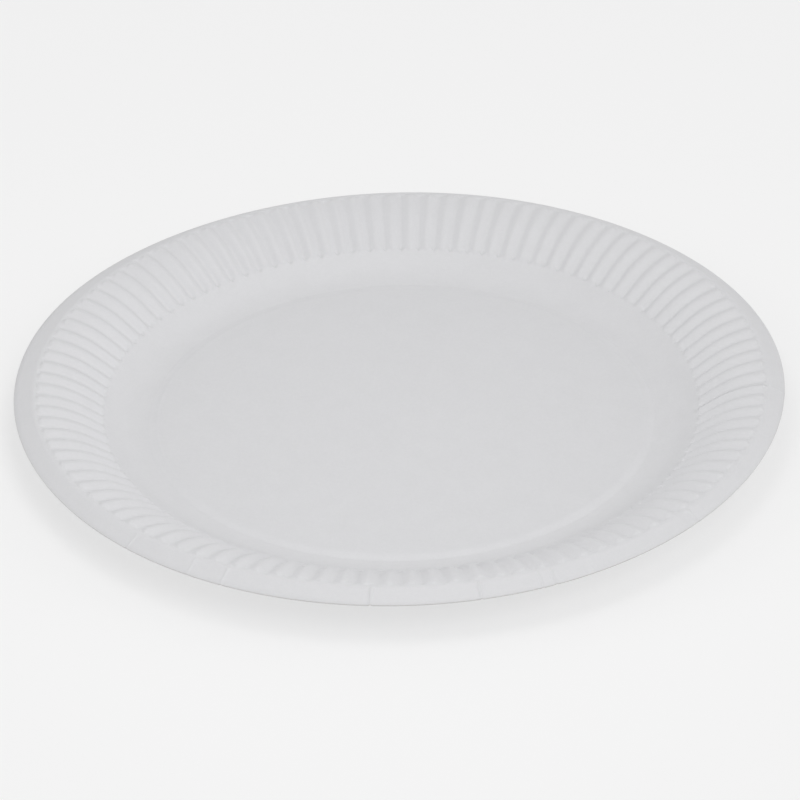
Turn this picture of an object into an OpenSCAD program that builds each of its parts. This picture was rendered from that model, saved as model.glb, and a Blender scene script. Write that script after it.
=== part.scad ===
// A round paper plate, pressed from one piece of white board. It has a flat base, a heel and a
// cove that rise from a crease round the base, a fluted wall and shoulder, and a plain flange that
// droops outward.
// The origin is on the table under the plate's centre, and +Z is up. Sizes are in millimetres.

/* [Base] */
// Diameter of the crease round the base, on which the plate rests
base_d = 153; // [140:1:160]
// Height of the flat base above the crease
base_rise = 0.5; // [0.1:0.1:1]
// Width of the band that slopes from the flat base down to the crease
dip_w = 2.8; // [1.6:0.2:6]
// Width of the flat foot pressed along the crease
foot_w = 0.6; // [0.4:0.2:2]

/* [Wall] */
// Diameter over the outer edge
plate_d = 230; // [218:1:270]
// Width of the heel, which rises gently from the foot
heel_w = 2.4; // [1:0.2:4]
// Angle of the heel
heel_angle = 9.5; // [4:0.5:16]
// Width of the cove, in which the heel turns up into the wall
cove_w = 6.5; // [4:0.5:9]
// Width of the straight stretch of the wall
wall_w = 9; // [6:0.2:13]
// Angle of the wall
wall_angle = 35; // [25:1:45]
// Angle at which the shoulder reaches the flange
crown_angle = 3.5; // [2:0.5:15]

/* [Flange] */
// Width of the plain flange outside the flutes
flange_w = 5.6; // [4:0.1:9]
// Angle at which the flange droops
flange_angle = 27; // [5:1:40]
// Radius of the bend between the shoulder and the flange
flange_bend_r = 2; // [1:0.5:5]

/* [Flutes] */
// Number of flutes round the rim
flute_count = 108; // [72:4:120]
// Height of a flute from its valley to its crown
flute_depth = 1.1; // [0.3:0.1:1.6]
// Distance from the cove to the inner ends of the flutes
flute_gap = 3.2; // [1:0.1:5]
// Length over which a flute rises at each end
flute_end_w = 1.2; // [0.8:0.2:2.4]

/* [Board] */
// Thickness of the board
board = 0.5; // [0.3:0.05:0.8]
// Colour of the board
board_colour = [0.84, 0.84, 0.85];

/* [Hidden] */
// Steps of points across the cove and across the shoulder
cove_steps = 3;
shoulder_steps = 2;
// Shares of one flute's width at which it has points: valley, flank, crown, flank
flute_shares = [0, 0.25, 0.5, 0.75];
foot_in = (base_d - foot_w) / 2;
foot_out = (base_d + foot_w) / 2;
dip_in = foot_in - dip_w;
cove_in = foot_out + heel_w;
wall_in = cove_in + cove_w;
wall_out = wall_in + wall_w;
flute_in = wall_in + flute_gap;
flute_out = plate_d / 2 - flange_w;
crown_in = flute_out - flute_end_w;
bend_out = flute_out + flange_bend_r * (sin(crown_angle) + sin(flange_angle));
// The top corner of the cut edge is what reaches the full diameter
edge_r = plate_d / 2 - board / 2 * sin(flange_angle);

// Stretches of the section from the foot outward: the radius where one ends, and its slope
// at both ends. A stretch is straight where the two are alike, and an arc otherwise.
stretches = [
    [cove_in, heel_angle, heel_angle],
    [wall_in, heel_angle, wall_angle],
    [wall_out, wall_angle, wall_angle],
    [flute_out, wall_angle, crown_angle],
    [bend_out, crown_angle, -flange_angle],
    [edge_r, -flange_angle, -flange_angle]
];

function start_of(i) = i == 0 ? foot_out : stretches[i - 1][0];

// The stretch that holds radius r
function stretch_at(r, i = 0) =
    i == len(stretches) - 1 || r <= stretches[i][0] ? i : stretch_at(r, i + 1);

// Slope at radius r on stretch i. Its sine grows evenly with the radius, as on an arc.
function slope_on(i, r) =
    let (low = sin(stretches[i][1]), high = sin(stretches[i][2]))
    asin(low + (high - low) * (r - start_of(i)) / (stretches[i][0] - start_of(i)));

// Rise from the start of stretch i to radius r
function rise_on(i, r) =
    let (low = stretches[i][1], high = stretches[i][2], width = stretches[i][0] - start_of(i))
    low == high ? (r - start_of(i)) * tan(low)
    : width / (sin(high) - sin(low)) * (cos(low) - cos(slope_on(i, r)));

function height_before(i) = i == 0 ? 0 : height_before(i - 1) + rise_on(i - 1, stretches[i - 1][0]);

// Angle of the board's middle layer at radius r, before the flutes are pressed
function slope(r) = r <= foot_out ? 0 : slope_on(stretch_at(r), r);

// Height of the board's middle layer above the same layer at the foot
function height(r) =
    r <= foot_in ? base_rise * (foot_in - r) / dip_w
    : r <= foot_out ? 0
    : height_before(stretch_at(r)) + rise_on(stretch_at(r), r);

// Height of a flute over the middle layer at a share of its width: a round crown
// between narrow valleys
function flute_wave(share) = flute_depth * (sin(180 * share) - 0.5);

// Stations along the section, from the base to the edge: a radius, and whether it is fluted
stations = concat(
    [[dip_in, false], [foot_in, false], [foot_out, false]],
    [for (i = [0 : cove_steps - 1]) [cove_in + i * cove_w / cove_steps, false]],
    [[flute_in, false], [flute_in + flute_end_w, true]],
    [for (i = [0 : shoulder_steps]) [wall_out + i * (crown_in - wall_out) / shoulder_steps, true]],
    [[flute_out, false], [bend_out, false], [edge_r, false]]
);
last = len(stations) - 1;

// Points per flute on a station, how many points lie before it, and how many a side has
function per_flute(s) = stations[s][1] ? len(flute_shares) : 1;
function points_before(s) = s == 0 ? 0 : points_before(s - 1) + flute_count * per_flute(s - 1);
side_points = points_before(last) + flute_count * per_flute(last);
starts = [for (s = [0 : last]) points_before(s)];

// A point on one side of the board, 1 above and -1 below
function board_point(s, flute, share, side) =
    let (r = stations[s][0],
         lift = side * board / 2 + (stations[s][1] ? flute_wave(share) : 0),
         reach = r - lift * sin(slope(r)),
         turn = 360 * (flute + share) / flute_count)
    [reach * cos(turn), reach * sin(turn), board / 2 + height(r) + lift * cos(slope(r))];

// All points of one side, station by station and flute by flute
function side_of_board(side) =
    [for (s = [0 : last], flute = [0 : flute_count - 1], i = [0 : per_flute(s) - 1])
        board_point(s, flute, flute_shares[i], side)];

// Indices of the points of one flute on a station, up to the first of the next flute
function row(s, flute, side) =
    let (offset = starts[s] + (side > 0 ? 0 : side_points), n = per_flute(s))
    [for (i = [0 : n]) offset + (flute * n + i) % (flute_count * n)];

// Triangles between an inner row and an outer row, anticlockwise seen from above.
// A row of one step meets a row of several in a fan at each of its two ends.
function between(inner, outer) =
    let (a = len(inner) - 1, b = len(outer) - 1, half = max(a, b) / 2)
    a == b ? [for (i = [0 : a - 1], t = [
            [inner[i], outer[i], outer[i + 1]],
            [inner[i], outer[i + 1], inner[i + 1]]]) t]
    : a < b ? concat(
            [for (i = [0 : half - 1]) [inner[0], outer[i], outer[i + 1]]],
            [[inner[0], outer[half], inner[1]]],
            [for (i = [half : b - 1]) [inner[1], outer[i], outer[i + 1]]])
    : concat(
            [for (i = [0 : half - 1]) [inner[i], outer[0], inner[i + 1]]],
            [[inner[half], outer[0], outer[1]]],
            [for (i = [half : a - 1]) [inner[i], outer[1], inner[i + 1]]]);

function turned_over(face) = [for (i = [len(face) - 1 : -1 : 0]) face[i]];

function side_faces(side) =
    [for (s = [0 : last - 1], flute = [0 : flute_count - 1],
          face = between(row(s, flute, side), row(s + 1, flute, side)))
        side > 0 ? turned_over(face) : face];

// The round of base inside the first station, as one flat face
function base_face(side) =
    let (rim = [for (flute = [0 : flute_count - 1]) row(0, flute, side)[0]])
    side > 0 ? turned_over(rim) : rim;

// The cut edge, from the top corner to the bottom one
function edge_faces() =
    [for (flute = [0 : flute_count - 1])
        let (top = row(last, flute, 1), bottom = row(last, flute, -1))
        [top[0], top[1], bottom[1], bottom[0]]];

module plate() {
    color(board_colour)
        polyhedron(
            points = concat(side_of_board(1), side_of_board(-1)),
            faces = concat(side_faces(1), side_faces(-1), edge_faces(),
                           [base_face(1), base_face(-1)]),
            convexity = 6
        );
}

plate();
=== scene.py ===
import math

import bpy
import numpy as np
from mathutils import Matrix, Vector


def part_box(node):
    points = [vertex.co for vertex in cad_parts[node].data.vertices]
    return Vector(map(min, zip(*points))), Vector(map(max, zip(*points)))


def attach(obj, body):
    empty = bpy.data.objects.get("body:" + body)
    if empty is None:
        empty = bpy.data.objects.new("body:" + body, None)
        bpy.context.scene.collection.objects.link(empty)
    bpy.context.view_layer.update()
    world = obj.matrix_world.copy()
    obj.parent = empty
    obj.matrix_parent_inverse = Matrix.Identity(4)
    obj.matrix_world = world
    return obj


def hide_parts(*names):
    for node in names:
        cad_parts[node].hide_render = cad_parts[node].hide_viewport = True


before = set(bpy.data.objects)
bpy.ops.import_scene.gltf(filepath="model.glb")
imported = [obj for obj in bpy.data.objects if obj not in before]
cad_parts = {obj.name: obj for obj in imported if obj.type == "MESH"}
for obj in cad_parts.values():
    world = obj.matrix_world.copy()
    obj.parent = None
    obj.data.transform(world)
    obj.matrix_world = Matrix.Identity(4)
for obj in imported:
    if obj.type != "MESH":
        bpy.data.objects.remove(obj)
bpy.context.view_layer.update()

MM = 0.001

# Section of the plate: radii and lengths in metres, angles in radians. It is the solid's, apart
# from the depth and the rounding of the flutes.
PLATE_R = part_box("plate")[1].x
BASE_R = 76.5 * MM
BASE_RISE = 0.5 * MM
DIP_W = 2.8 * MM
# Width over which the flat base turns down into the dip
DIP_ROUND = 0.6 * MM
FOOT_W = 0.6 * MM
HEEL_W = 2.4 * MM
HEEL_ANGLE = math.radians(9.5)
COVE_W = 6.5 * MM
WALL_W = 9.0 * MM
WALL_ANGLE = math.radians(35)
CROWN_ANGLE = math.radians(3.5)
FLANGE_W = 5.6 * MM
FLANGE_ANGLE = math.radians(27)
BEND_R = 2.0 * MM
BOARD = 0.5 * MM
FLUTES = 108
FLUTE_DEPTH = 1.0 * MM
FLUTE_IN_GAP = 3.2 * MM
# Share of a flute's depth that lies below the plain board, at its inner and its outer end
FLUTE_SINK_IN = 0.6
FLUTE_SINK_OUT = 0.35
FLUTE_IN_W = 0.9 * MM
FLUTE_OUT_W = 1.1 * MM
# Length by which the middle of a crown or a valley reaches past its flanks
FLUTE_NOSE = 0.8 * MM
# The larger it is, the rounder and wider is a valley
VALLEY_ROUND = 1.0
# Share by which single flutes differ in depth, and share of the pitch by which they stray
FLUTE_DEPTH_SPREAD = 0.12
FLUTE_PLACE_SPREAD = 0.03
# The die cuts the edge a little rounded, and not quite in a circle round the pressed form: waves
# round the edge, their height in millimetres and their phase in degrees
EDGE_ROUND = 0.12 * MM
EDGE_STRAY = [(1, 0.62, 169), (2, 0.19, 26), (3, 0.36, 91), (4, 0.18, 331), (5, 0.14, 67)]

# Small folds pinched up in the flange where the board was gathered: place and share of the height
PLEATS = [
    (227.8, 0.4), (238.8, 0.35), (244.3, 0.5), (265.9, 1.0), (281.4, 0.9), (290.3, 0.6),
    (292.3, 0.8), (298.8, 0.3), (317.8, 0.5), (355.3, 0.4)]
PLEAT_HEIGHT = 0.45 * MM
PLEAT_W = 1.0 * MM
# Steepness of a fold's sides
PLEAT_FALL = 2

FOOT_IN = BASE_R - FOOT_W / 2
FOOT_OUT = BASE_R + FOOT_W / 2
DIP_IN = FOOT_IN - DIP_W
COVE_IN = FOOT_OUT + HEEL_W
WALL_IN = COVE_IN + COVE_W
WALL_OUT = WALL_IN + WALL_W
FLUTE_IN = WALL_IN + FLUTE_IN_GAP
FLUTE_OUT = PLATE_R - FLANGE_W


class Section:
    """Straight stretches and arcs from the foot outward, each starting where the last one ends."""

    def __init__(self, start):
        self.ends, self.angles, self.heights = [start], [], [0.0]

    def add(self, end, from_angle, to_angle):
        """Adds a stretch that ends at radius end. Its slope's sine grows evenly, as on an arc."""
        width = end - self.ends[-1]
        if from_angle == to_angle:
            rise = width * math.tan(from_angle)
        else:
            radius = width / (math.sin(to_angle) - math.sin(from_angle))
            rise = radius * (math.cos(from_angle) - math.cos(to_angle))
        self.ends.append(end)
        self.angles.append((from_angle, to_angle))
        self.heights.append(self.heights[-1] + rise)

    def slope(self, r):
        angle = 0 * r
        for start, end, (low, high) in zip(self.ends, self.ends[1:], self.angles):
            share = (r - start) / (end - start)
            sine = math.sin(low) + share * (math.sin(high) - math.sin(low))
            here = np.arcsin(np.clip(sine, -1, 1))
            angle = np.where((r >= start) & (r <= end), here, angle)
        return np.where(r > self.ends[-1], self.angles[-1][1], angle)

    def height(self, r):
        level = 0 * r
        angle = self.slope(r)
        stretches = zip(self.ends, self.ends[1:], self.angles, self.heights)
        for start, end, (low, high), base in stretches:
            if low == high:
                here = base + (r - start) * math.tan(low)
            else:
                radius = (end - start) / (math.sin(high) - math.sin(low))
                here = base + radius * (math.cos(low) - np.cos(angle))
            level = np.where((r >= start) & (r <= end), here, level)
        return level


BEND_W = BEND_R * (math.sin(CROWN_ANGLE) + math.sin(FLANGE_ANGLE))
EDGE_R = PLATE_R - BOARD / 2 * math.sin(FLANGE_ANGLE)
WALL = Section(FOOT_OUT)
WALL.add(COVE_IN, HEEL_ANGLE, HEEL_ANGLE)
WALL.add(WALL_IN, HEEL_ANGLE, WALL_ANGLE)
WALL.add(WALL_OUT, WALL_ANGLE, WALL_ANGLE)
WALL.add(FLUTE_OUT, WALL_ANGLE, CROWN_ANGLE)
WALL.add(FLUTE_OUT + BEND_W, CROWN_ANGLE, -FLANGE_ANGLE)
WALL.add(PLATE_R, -FLANGE_ANGLE, -FLANGE_ANGLE)


def slope(r):
    """Angle of the board's middle layer at radius r outside the foot, before the flutes."""
    return np.where(r < FOOT_OUT, 0, WALL.slope(r))


def height(r):
    """Height of the board's middle layer above the same layer at the foot."""
    inward = np.clip((FOOT_IN - r) / DIP_W, 0, 1)
    corner = DIP_ROUND / DIP_W
    steep = BASE_RISE / (1 - corner / 2)
    dip = np.where(inward < 1 - corner, steep * inward,
                   BASE_RISE - steep * (1 - inward) ** 2 / (2 * corner))
    return np.where(r < FOOT_OUT, dip, WALL.height(r))


def smooth(low, high, x):
    """0 below low, 1 above high, and a smooth rise between."""
    t = np.clip((x - low) / (high - low), 0, 1)
    return t * t * (3 - 2 * t)


def flute_spread(seed):
    """One number from -1 to 1 for each flute, the same at every run."""
    return np.random.default_rng(seed).uniform(-1, 1, FLUTES)


DEPTH_SPREAD = flute_spread(3)
PLACE_SPREAD = flute_spread(5)


def flute_lift(r, turn):
    """Height of the flutes over the middle layer: round crowns, a little wider than the valleys."""
    count = turn * FLUTES / (2 * math.pi)
    nearest = np.round(count).astype(int)
    here = PLACE_SPREAD[nearest % FLUTES] * FLUTE_PLACE_SPREAD
    wave = np.sin(math.pi * (count - here))
    crown = (np.sqrt(wave ** 2 + VALLEY_ROUND ** 2) - VALLEY_ROUND) \
        / (math.sqrt(1 + VALLEY_ROUND ** 2) - VALLEY_ROUND)
    along = np.clip((r - FLUTE_IN) / (FLUTE_OUT - FLUTE_IN), 0, 1)
    sink = FLUTE_SINK_IN + (FLUTE_SINK_OUT - FLUTE_SINK_IN) * along
    sink = sink * (1 + FLUTE_DEPTH_SPREAD * DEPTH_SPREAD[nearest % FLUTES] * (1 - crown))
    across = (crown - sink) / np.where(crown > sink, 1 - sink, sink)
    short = FLUTE_NOSE * (1 - across ** 2)
    start = smooth(0, FLUTE_IN_W, r - FLUTE_IN - short)
    end = smooth(0, FLUTE_OUT_W, FLUTE_OUT - short - r)
    return FLUTE_DEPTH * (start * end) * (crown - sink)


def pleat_lift(r, turn):
    """Height of the pinched folds over the flange."""
    lift = 0 * r
    for degrees, share in PLEATS:
        across = np.angle(np.exp(1j * (turn - math.radians(degrees)))) * PLATE_R
        ridge = np.exp(-PLEAT_FALL * (across / (PLEAT_W / 2)) ** 2)
        lift += PLEAT_HEIGHT * share * ridge * smooth(FLUTE_OUT, FLUTE_OUT + PLEAT_W, r)
    return lift


def edge_stray(turn):
    """Distance by which the cut edge lies outside its circle."""
    return sum(high * MM * np.cos(waves * turn - math.radians(phase))
               for waves, high, phase in EDGE_STRAY)


def board_points(radii, turns, side):
    """Points of one side of the board, 1 above and -1 below, ring by ring."""
    r, turn = np.meshgrid(radii, turns, indexing="ij")
    angle = slope(r)
    lift = side * BOARD / 2 + flute_lift(r, turn) + pleat_lift(r, turn)
    reach = r - lift * np.sin(angle) + edge_stray(turn) * smooth(FLUTE_OUT, EDGE_R, r)
    z = BOARD / 2 + height(r) + lift * np.cos(angle)
    return np.stack([reach * np.cos(turn), reach * np.sin(turn), z], axis=-1)


def spread(start, end, steps):
    """Even steps from start up to end, without end itself."""
    return np.linspace(start, end, steps, endpoint=False)


# Columns of points for each flute, inside the flutes and across them, and how far the latter
# crowd into the valleys
PLAIN_COLUMNS = 2
FLUTE_COLUMNS = 12
COLUMN_CROWDING = 0.35
# Columns across one fold, and the width they take up in widths of the fold
PLEAT_COLUMNS = 8
PLEAT_REACH = 2.8
# Steps of rings across each stretch
DIP_STEPS, COVE_STEPS = 3, 6
NOSE_IN_STEPS, FLUTE_STEPS, NOSE_OUT_STEPS = 6, 9, 7
BEND_STEPS, FLANGE_STEPS = 3, 3
# Radii between which the flutes have their full height
FULL_IN = FLUTE_IN + FLUTE_NOSE + FLUTE_IN_W
FULL_OUT = FLUTE_OUT - FLUTE_NOSE - FLUTE_OUT_W
PLAIN_RADII = np.concatenate([
    spread(DIP_IN, DIP_IN + DIP_ROUND, DIP_STEPS),
    [DIP_IN + DIP_ROUND, FOOT_IN, FOOT_OUT, COVE_IN],
    spread(COVE_IN, FLUTE_IN, COVE_STEPS)[1:]])
FLUTE_RADII = np.concatenate([
    spread(FLUTE_IN, FULL_IN, NOSE_IN_STEPS),
    spread(FULL_IN, FULL_OUT, FLUTE_STEPS),
    spread(FULL_OUT, FLUTE_OUT, NOSE_OUT_STEPS),
    spread(FLUTE_OUT, FLUTE_OUT + BEND_W, BEND_STEPS),
    spread(FLUTE_OUT + BEND_W, EDGE_R - EDGE_ROUND, FLANGE_STEPS),
    [EDGE_R - EDGE_ROUND]])


def plain_turns():
    """Even columns for the part inside the flutes."""
    return spread(0, 2 * math.pi, FLUTES * PLAIN_COLUMNS)


def flute_turns():
    """Columns that crowd into the valleys of the flutes and at the pleats."""
    count = spread(0, FLUTES, FLUTES * FLUTE_COLUMNS)
    count = count - COLUMN_CROWDING / (2 * math.pi) * np.sin(2 * math.pi * count)
    turns = [count * 2 * math.pi / FLUTES]
    half = PLEAT_REACH / 2 * PLEAT_W / PLATE_R
    for degrees, _ in PLEATS:
        turns.append(math.radians(degrees) + np.linspace(-half, half, PLEAT_COLUMNS))
    return np.unique(np.concatenate(turns).round(7) % (2 * math.pi))


class SheetMesh:
    """Rings of points on both sides of the board, and the faces between them."""

    def __init__(self):
        self.points, self.faces = [], []

    def ring(self, radius, turns, side):
        """Adds one ring and gives the numbers of its points."""
        first = len(self.points)
        self.points += board_points(np.array([radius]), turns, side)[0].tolist()
        return list(range(first, len(self.points)))

    def face(self, points, side):
        self.faces.append(points if side > 0 else points[::-1])

    def band(self, inner, outer, side):
        """Joins two rings that have the same columns."""
        for i in range(len(inner)):
            j = (i + 1) % len(inner)
            self.face([inner[i], outer[i], outer[j], inner[j]], side)

    def fan(self, inner, inner_turns, outer, outer_turns, side):
        """Joins a coarse ring to a fine one around it."""
        nearest = [int(np.argmin(np.abs(np.angle(np.exp(1j * (outer_turns - turn))))))
                   for turn in inner_turns]
        for i, start in enumerate(nearest):
            j = (i + 1) % len(inner)
            steps = (nearest[j] - start) % len(outer)
            arc = [outer[(start + k) % len(outer)] for k in range(steps + 1)]
            self.face([inner[i]] + arc + [inner[j]], side)


def plate_mesh():
    sheet = SheetMesh()
    plain, fine = plain_turns(), flute_turns()
    rims = {}
    for side in (1, -1):
        rings = [sheet.ring(radius, plain, side) for radius in PLAIN_RADII]
        sheet.face(rings[0], side)
        for inner, outer in zip(rings, rings[1:]):
            sheet.band(inner, outer, side)
        fluted = [sheet.ring(radius, fine, side) for radius in FLUTE_RADII]
        sheet.fan(rings[-1], plain, fluted[0], fine, side)
        for inner, outer in zip(fluted, fluted[1:]):
            sheet.band(inner, outer, side)
        rims[side] = fluted[-1]
    before = len(sheet.faces)
    upper = sheet.ring(EDGE_R, fine, 1 - EDGE_ROUND / (BOARD / 2))
    lower = sheet.ring(EDGE_R, fine, EDGE_ROUND / (BOARD / 2) - 1)
    sheet.band(rims[1], upper, 1)
    sheet.band(upper, lower, 1)
    sheet.band(lower, rims[-1], 1)
    mesh = bpy.data.meshes.new("plate_board")
    mesh.from_pydata(sheet.points, [], sheet.faces)
    cut = [int(i >= before) for i in range(len(sheet.faces))]
    mesh.polygons.foreach_set("material_index", cut)
    mesh.validate()
    mesh.update()
    return mesh


PAPER = (0.655, 0.655, 0.668, 1)
CUT_PAPER = (0.60, 0.595, 0.59, 1)
# Painted sheen: share by which the board's colour is made lighter in a band along the crease
PAINTED_CREASE_SHEEN = 0.03
# Sizes of what shows in the board, and the height of its grain
CLOUD_SIZE = 7 * MM
MOTTLE_SIZE = 1.3 * MM
FIBRE_SIZES = (0.35 * MM, 0.3 * MM)
LUMP_SIZE = 1.6 * MM
LUMP_SHARE = 1.5
GRAIN_HEIGHT = 0.02 * MM
# Thickness of the layers of fibre in the cut edge, how far they are drawn out, and their height
LAYER_SIZE = 0.09 * MM
LAYER_STRETCH = 9
LAYER_HEIGHT = 0.03 * MM
CUT_ROUGHNESS = 0.85


class Nodes:
    """Short forms for the nodes of one material."""

    def __init__(self, material):
        material.use_nodes = True
        self.nodes, self.links = material.node_tree.nodes, material.node_tree.links
        self.shader = self.nodes["Principled BSDF"]
        self.place = self.nodes.new("ShaderNodeTexCoord").outputs["Object"]

    def noise(self, size, detail, stretch=(1, 1, 1), turn=0.0):
        """Noise whose lumps are about size metres across, drawn out along one way."""
        mapping = self.nodes.new("ShaderNodeMapping")
        mapping.inputs["Rotation"].default_value = (0, 0, turn)
        mapping.inputs["Scale"].default_value = [1 / (size * way) for way in stretch]
        texture = self.nodes.new("ShaderNodeTexNoise")
        texture.inputs["Scale"].default_value = 1
        texture.inputs["Detail"].default_value = detail
        self.links.new(self.place, mapping.inputs["Vector"])
        self.links.new(mapping.outputs[0], texture.inputs["Vector"])
        return texture.outputs["Fac"]

    def math(self, operation, a, b):
        node = self.nodes.new("ShaderNodeMath")
        node.operation = operation
        for socket, value in zip(node.inputs, (a, b)):
            if isinstance(value, (int, float)):
                socket.default_value = value
            else:
                self.links.new(value, socket)
        return node.outputs[0]

    def ramp(self, value, low, high):
        """Carries a noise of 0.3 to 0.7 over to low to high."""
        node = self.nodes.new("ShaderNodeMapRange")
        node.inputs["From Min"].default_value = 0.3
        node.inputs["From Max"].default_value = 0.7
        node.inputs["To Min"].default_value = low
        node.inputs["To Max"].default_value = high
        self.links.new(value, node.inputs["Value"])
        return node.outputs[0]

    def ring(self, inner, middle, outer):
        """0 at the inner radius, 1 at the middle one and 0 again at the outer one."""
        flat = self.nodes.new("ShaderNodeVectorMath")
        flat.operation = "MULTIPLY"
        flat.inputs[1].default_value = (1, 1, 0)
        length = self.nodes.new("ShaderNodeVectorMath")
        length.operation = "LENGTH"
        self.links.new(self.place, flat.inputs[0])
        self.links.new(flat.outputs["Vector"], length.inputs[0])
        sides = []
        for end in (inner, outer):
            node = self.nodes.new("ShaderNodeMapRange")
            node.inputs["From Min"].default_value = end
            node.inputs["From Max"].default_value = middle
            self.links.new(length.outputs["Value"], node.inputs["Value"])
            sides.append(node.outputs[0])
        return self.math("MINIMUM", sides[0], sides[1])

    def tint(self, colour, shade):
        """The colour, made lighter or darker by shade."""
        node = self.nodes.new("ShaderNodeMix")
        node.data_type = "RGBA"
        node.blend_type = "MULTIPLY"
        node.inputs["Factor"].default_value = 1
        node.inputs["A"].default_value = colour
        self.links.new(shade, node.inputs["B"])
        self.links.new(node.outputs["Result"], self.shader.inputs["Base Color"])

    def bump(self, height, distance):
        node = self.nodes.new("ShaderNodeBump")
        node.inputs["Distance"].default_value = distance
        self.links.new(height, node.inputs["Height"])
        self.links.new(node.outputs[0], self.shader.inputs["Normal"])


def paper_material():
    """White board, faintly clouded, with short fibres all ways, and a painted sheen that lightens
    its colour along the crease.
    """
    material = bpy.data.materials.new("paper_board")
    made = Nodes(material)
    cloud = made.noise(CLOUD_SIZE, 2)
    fibres = made.math("MAXIMUM", made.noise(FIBRE_SIZES[0], 3, (4, 1, 1), 0.5),
                       made.noise(FIBRE_SIZES[1], 3, (1, 5, 1), 0.2))
    mottle = made.noise(MOTTLE_SIZE, 3)
    shade = made.math("MULTIPLY", made.ramp(cloud, 0.99, 1.01), made.ramp(fibres, 0.985, 1.015))
    shade = made.math("MULTIPLY", shade, made.ramp(mottle, 0.992, 1.008))
    # Painted sheen: the colour is made lighter in a ring over the dip and the foot of the crease
    painted_sheen = made.ring(DIP_IN - DIP_ROUND, FOOT_IN - DIP_ROUND, FOOT_OUT)
    painted_sheen = made.math("ADD", made.math("MULTIPLY", painted_sheen, PAINTED_CREASE_SHEEN), 1)
    shade = made.math("MULTIPLY", shade, painted_sheen)
    made.tint(PAPER, shade)
    made.links.new(made.ramp(cloud, 0.55, 0.66), made.shader.inputs["Roughness"])
    lumps = made.math("MULTIPLY", made.noise(LUMP_SIZE, 2), LUMP_SHARE)
    made.bump(made.math("ADD", fibres, lumps), GRAIN_HEIGHT)
    return material


def cut_material():
    """The cut edge of the board, where its layers of fibre show as fine lines."""
    material = bpy.data.materials.new("board_cut")
    made = Nodes(material)
    layers = made.noise(LAYER_SIZE, 2, (LAYER_STRETCH, LAYER_STRETCH, 1))
    made.tint(CUT_PAPER, made.ramp(layers, 0.95, 1.05))
    made.shader.inputs["Roughness"].default_value = CUT_ROUGHNESS
    made.bump(layers, LAYER_HEIGHT)
    return material


def add_plate():
    piece = bpy.data.objects.new("plate_board", plate_mesh())
    bpy.context.scene.collection.objects.link(piece)
    piece.data.materials.append(paper_material())
    piece.data.materials.append(cut_material())
    piece.data.shade_smooth()
    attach(piece, "root")
    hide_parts("plate")
    return piece


# The photograph is 800 pixels square. Its camera looks down on the plate from the front. The
# plate's place and radius are in pixels of that frame.
PHOTO_SIZE = 800
PLATE_CENTRE_PX = (400.7, 382.8)
PLATE_R_PX = 383.9
CAMERA_ELEVATION = math.radians(32.3)
CAMERA_ROLL = math.radians(-1.36)
# The camera stands a little round to the right, so that the valleys lie as in the photograph
CAMERA_TURN = math.radians(0.83)
CAMERA_DISTANCE = 10.5 * PLATE_R
SENSOR = 36.0


def add_camera():
    data = bpy.data.cameras.new("camera")
    data.sensor_width = SENSOR
    data.lens = PLATE_R_PX * CAMERA_DISTANCE / PLATE_R / PHOTO_SIZE * SENSOR
    camera = bpy.data.objects.new("camera", data)
    bpy.context.scene.collection.objects.link(camera)
    cosine, sine = math.cos(CAMERA_ELEVATION), math.sin(CAMERA_ELEVATION)
    level_right = Vector((math.cos(CAMERA_TURN), math.sin(CAMERA_TURN), 0))
    forward = Vector((-math.sin(CAMERA_TURN), math.cos(CAMERA_TURN), 0))
    level_up = forward * sine + Vector((0, 0, cosine))
    right = level_right * math.cos(CAMERA_ROLL) + level_up * math.sin(CAMERA_ROLL)
    up = level_up * math.cos(CAMERA_ROLL) - level_right * math.sin(CAMERA_ROLL)
    rim = Vector((0, 0, BOARD / 2 + float(height(np.array(EDGE_R)))))
    place = rim + CAMERA_DISTANCE * (Vector((0, 0, sine)) - forward * cosine)
    metre_per_px = PLATE_R / PLATE_R_PX
    half = PHOTO_SIZE / 2
    aim = rim - right * (PLATE_CENTRE_PX[0] - half) * metre_per_px \
        + up * (PLATE_CENTRE_PX[1] - half) * metre_per_px
    back = (place - aim).normalized()
    right = up.cross(back).normalized()
    up = back.cross(right)
    camera.matrix_world = Matrix((
        (right.x, up.x, back.x, place.x),
        (right.y, up.y, back.y, place.y),
        (right.z, up.z, back.z, place.z),
        (0, 0, 0, 1)))
    bpy.context.scene.camera = camera


# The sky gives most of the light, more of it from the sides than from above. The suns stand for
# large soft lamps: azimuth, elevation and the share of the light that a lit level surface gets.
SKY_TOP = 0.522
SKY_SIDES = 0.222
SOFT_SUNS = [(300, 50, 0.211), (0, 25, 0.097), (180, 25, 0.104)]
SUN_SIZE = math.radians(30)
LAMP_PLACE = (0, -0.10, 0.35)
LAMP_SIZE = 0.15
LAMP_POWER = 0.266
# Grey of the floor and of the backdrop, and how much of the lit floor the camera sees
BACKDROP = 0.913
FLOOR_REACH = 6.0
FLOOR_SHADOW_SHARE = 0.3


def backdrop_rays(nodes, links):
    """Socket that is 1 for rays that show the backdrop: the camera's own and mirrored ones."""
    path = nodes.new("ShaderNodeLightPath")
    total = path.outputs["Is Camera Ray"]
    for ray in ("Is Glossy Ray", "Is Transmission Ray"):
        either = nodes.new("ShaderNodeMath")
        either.operation = "MAXIMUM"
        links.new(total, either.inputs[0])
        links.new(path.outputs[ray], either.inputs[1])
        total = either.outputs[0]
    return total


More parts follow.
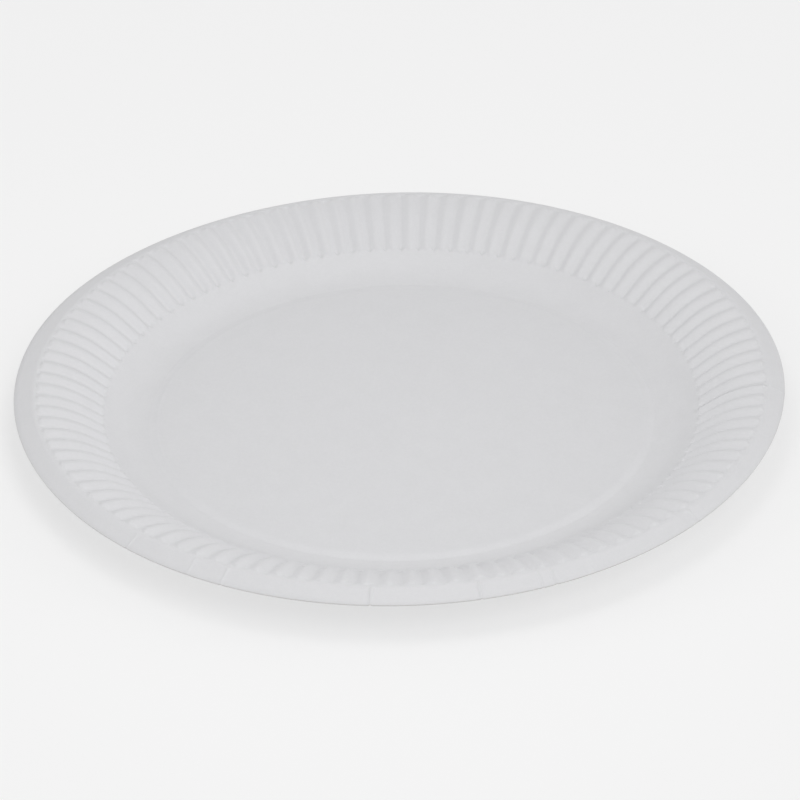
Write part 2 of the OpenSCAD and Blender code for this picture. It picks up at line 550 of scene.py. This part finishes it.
def add_floor():
    """A pale floor, seen partly as an even backdrop, so that the plate's shadow stays faint."""
    mesh = bpy.data.meshes.new("floor")
    corners = [(-1, -1), (1, -1), (1, 1), (-1, 1)]
    points = [(x * FLOOR_REACH, y * FLOOR_REACH, 0) for x, y in corners]
    mesh.from_pydata(points, [], [(0, 1, 2, 3)])
    floor = bpy.data.objects.new("floor", mesh)
    bpy.context.scene.collection.objects.link(floor)
    material = bpy.data.materials.new("floor")
    material.use_nodes = True
    nodes, links = material.node_tree.nodes, material.node_tree.links
    nodes.clear()
    output = nodes.new("ShaderNodeOutputMaterial")
    lit = nodes.new("ShaderNodeBsdfDiffuse")
    lit.inputs["Color"].default_value = (BACKDROP, BACKDROP, BACKDROP, 1)
    even = nodes.new("ShaderNodeEmission")
    even.inputs["Color"].default_value = (BACKDROP, BACKDROP, BACKDROP, 1)
    share = nodes.new("ShaderNodeMath")
    share.operation = "MULTIPLY"
    share.inputs[1].default_value = 1 - FLOOR_SHADOW_SHARE
    mix = nodes.new("ShaderNodeMixShader")
    links.new(backdrop_rays(nodes, links), share.inputs[0])
    links.new(share.outputs[0], mix.inputs["Fac"])
    links.new(lit.outputs[0], mix.inputs[1])
    links.new(even.outputs[0], mix.inputs[2])
    links.new(mix.outputs[0], output.inputs["Surface"])
    mesh.materials.append(material)


def add_sky():
    """Even light from above that grows toward the sides, and the backdrop's grey for the camera."""
    world = bpy.data.worlds.new("studio")
    bpy.context.scene.world = world
    world.use_nodes = True
    nodes, links = world.node_tree.nodes, world.node_tree.links
    nodes.clear()
    output = nodes.new("ShaderNodeOutputWorld")
    place = nodes.new("ShaderNodeTexCoord")
    axes = nodes.new("ShaderNodeSeparateXYZ")
    low = nodes.new("ShaderNodeMath")
    low.operation = "SUBTRACT"
    low.inputs[0].default_value = 1
    low.use_clamp = True
    square = nodes.new("ShaderNodeMath")
    square.operation = "POWER"
    square.inputs[1].default_value = 2
    strength = nodes.new("ShaderNodeMath")
    strength.operation = "MULTIPLY_ADD"
    strength.inputs[1].default_value = SKY_SIDES
    strength.inputs[2].default_value = SKY_TOP
    light = nodes.new("ShaderNodeBackground")
    light.inputs["Color"].default_value = (1, 1, 1, 1)
    backdrop = nodes.new("ShaderNodeBackground")
    backdrop.inputs["Color"].default_value = (BACKDROP, BACKDROP, BACKDROP, 1)
    mix = nodes.new("ShaderNodeMixShader")
    links.new(place.outputs["Generated"], axes.inputs[0])
    links.new(axes.outputs["Z"], low.inputs[1])
    links.new(low.outputs[0], square.inputs[0])
    links.new(square.outputs[0], strength.inputs[0])
    links.new(strength.outputs[0], light.inputs["Strength"])
    links.new(backdrop_rays(nodes, links), mix.inputs["Fac"])
    links.new(light.outputs[0], mix.inputs[1])
    links.new(backdrop.outputs[0], mix.inputs[2])
    links.new(mix.outputs[0], output.inputs["Surface"])


def add_light(name, kind, toward, distance):
    """A light that shines on the plate from the direction toward."""
    data = bpy.data.lights.new(name, kind)
    light = bpy.data.objects.new(name, data)
    bpy.context.scene.collection.objects.link(light)
    light.location = toward * distance
    light.rotation_euler = toward.to_track_quat("Z", "Y").to_euler()
    return data


def add_lights():
    for i, (azimuth, elevation, share) in enumerate(SOFT_SUNS):
        turn, rise = math.radians(azimuth), math.radians(elevation)
        level = math.cos(rise)
        toward = Vector((math.cos(turn) * level, math.sin(turn) * level, math.sin(rise)))
        sun = add_light("soft_sun_%d" % i, "SUN", toward, 1.0)
        sun.energy = math.pi * share
        sun.angle = SUN_SIZE
    place = Vector(LAMP_PLACE)
    lamp = add_light("front_lamp", "AREA", place.normalized(), place.length)
    lamp.shape = "SQUARE"
    lamp.size = LAMP_SIZE
    lamp.energy = LAMP_POWER


add_plate()
add_camera()
add_floor()
add_sky()
add_lights()
bpy.context.scene.view_settings.view_transform = "Standard"
